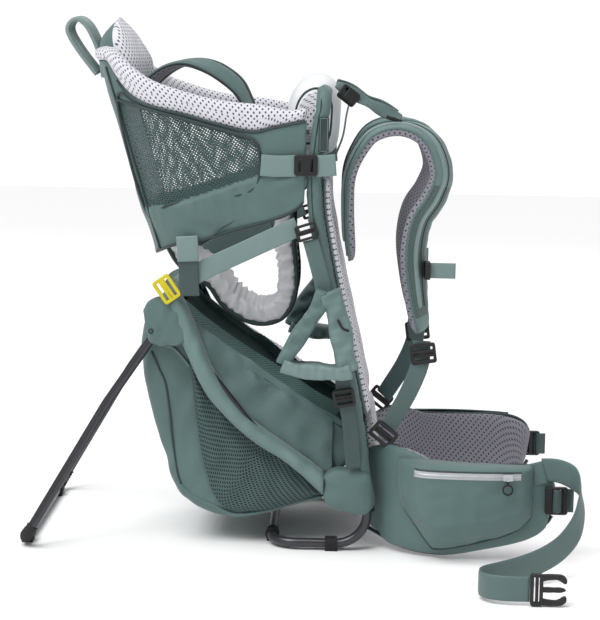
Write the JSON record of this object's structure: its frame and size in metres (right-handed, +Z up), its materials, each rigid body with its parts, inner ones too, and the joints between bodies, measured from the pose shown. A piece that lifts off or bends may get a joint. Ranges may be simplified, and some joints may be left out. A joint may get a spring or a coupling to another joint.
{
  "type": "baby carrier backpack",
  "caption": "Framed child carrier worn on the back, with a padded cockpit, seat sling, kickstand, storage bag, shoulder harness and hip belt.",
  "frame": {"origin": "on the floor, below the middle of the carrier's footprint without the free hip webbing", "axes": "+X towards the wearer, who faces +X; +Y to the wearer's left; +Z up"},
  "size_m": [0.718, 0.5908, 0.677],
  "materials": {
    "frame_tube": "satin dark anodised",
    "pin_steel": "plated",
    "black_plastic": "moulded acetal, fine texture",
    "yellow_plastic": "moulded",
    "foot_rubber": "ribbed",
    "green_fabric": "woven nylon, slight sheen",
    "dark_fabric": "woven nylon",
    "webbing": "woven webbing",
    "light_webbing": "woven webbing",
    "spacer_mesh": "3D spacer mesh",
    "net_mesh": "open net",
    "lining": "satin lining",
    "chin_fabric": "soft knit",
    "zip_metal": "plated zip slider"
  },
  "bodies": {
    "pack": {"back_frame": "frame_tube", "base_loop": "frame_tube", "seat_frame": "frame_tube", "frame_couplers": "black_plastic", "base_feet": "foot_rubber", "cockpit_stay": "frame_tube", "kickstand_brackets": "black_plastic", "kickstand_pins": "pin_steel", "back_panel": "green_fabric", "frame_sleeves": "green_fabric", "side_tube_sleeves": "green_fabric", "frame_boots": "green_fabric", "back_pads": "spacer_mesh", "lumbar_pad": "spacer_mesh", "chin_pad": "chin_fabric", "blank_label": "dark_fabric", "cockpit_shell": "green_fabric", "mesh_windows": "net_mesh", "rim_pad": "spacer_mesh", "headrest": "spacer_mesh", "grab_handle": "light_webbing", "child_back_pad": "spacer_mesh", "seat_sling": "lining", "child_shoulder_pads": "green_fabric", "child_harness_straps": "webbing", "child_buckle": "black_plastic", "storage_bag": "green_fabric", "side_pockets": "net_mesh", "leg_gussets": "net_mesh", "seat_straps": "webbing", "yellow_ladder_locks": "yellow_plastic", "side_entry_buckles": "black_plastic", "stirrup_right": "light_webbing", "stirrup_left": "light_webbing", "stirrup_straps": "webbing", "stirrup_buckles": "black_plastic", "load_lifter_straps": "webbing", "harness_lower_straps": "webbing", "belt_adjusters": "black_plastic"},
    "kickstand": {"kickstand_tube": "frame_tube", "kickstand_feet": "foot_rubber"},
    "harness": {"shoulder_pad_right": "green_fabric", "shoulder_pad_left": "green_fabric", "load_lifter_buckles": "black_plastic", "harness_ladder_locks": "black_plastic"},
    "sternum_right": {"sternum_slider_right": "black_plastic"},
    "sternum_left": {"sternum_slider_left": "black_plastic"},
    "fin_right": {"hip_fin_right": "green_fabric", "hip_pocket_right": "green_fabric", "hip_ladder_lock_right": "black_plastic", "hip_strap": "webbing", "hip_strap_buckle": "black_plastic"},
    "fin_left": {"hip_fin_left": "green_fabric", "hip_pocket_left": "green_fabric", "hip_ladder_lock_left": "black_plastic"},
    "zip_right": {"zip_slider_right": "zip_metal"},
    "zip_left": {"zip_slider_left": "zip_metal"},
    "pull_right": {"zip_pull_right": "black_plastic"},
    "pull_left": {"zip_pull_left": "black_plastic"}
  },
  "joints": [
    {"name": "kickstand_fold", "type": "hinge", "parent": "pack", "child": "kickstand", "pos_m": [-0.166, 0, 0.288], "axis": [0, -1, 0], "range_deg": [0, 30]},
    {"name": "harness_height", "type": "slide", "parent": "pack", "child": "harness", "axis": [-0.1903, 0, 0.9817], "range_m": [-0.035, 0.035], "deforming": ["load_lifter_straps", "harness_lower_straps"]},
    {"name": "sternum_right_slide", "type": "slide", "parent": "harness", "child": "sternum_right", "axis": [0, 0, 1], "range_m": [-0.025, 0.03]},
    {"name": "sternum_left_slide", "type": "slide", "parent": "harness", "child": "sternum_left", "axis": [0, 0, 1], "range_m": [-0.025, 0.03]},
    {"name": "hip_fin_right_fold", "type": "hinge", "parent": "pack", "child": "fin_right", "pos_m": [0.118, -0.112, 0.07], "axis": [0, 0, 1], "range_deg": [-10, 20]},
    {"name": "hip_fin_left_fold", "type": "hinge", "parent": "pack", "child": "fin_left", "pos_m": [0.118, 0.112, 0.07], "axis": [0, 0, -1], "range_deg": [-10, 20]},
    {"name": "zip_right_slide", "type": "slide", "parent": "fin_right", "child": "zip_right", "axis": [-1, 0, 0], "range_m": [0, 0.104]},
    {"name": "zip_left_slide", "type": "slide", "parent": "fin_left", "child": "zip_left", "axis": [-1, 0, 0], "range_m": [0, 0.104]},
    {"name": "zip_pull_right_lift", "type": "hinge", "parent": "zip_right", "child": "pull_right", "pos_m": [0.274, -0.2092, 0.1088], "axis": [-1, 0, 0], "range_deg": [0, 90]},
    {"name": "zip_pull_left_lift", "type": "hinge", "parent": "zip_left", "child": "pull_left", "pos_m": [0.274, 0.2092, 0.1088], "axis": [1, 0, 0], "range_deg": [0, 90]}
  ]
}
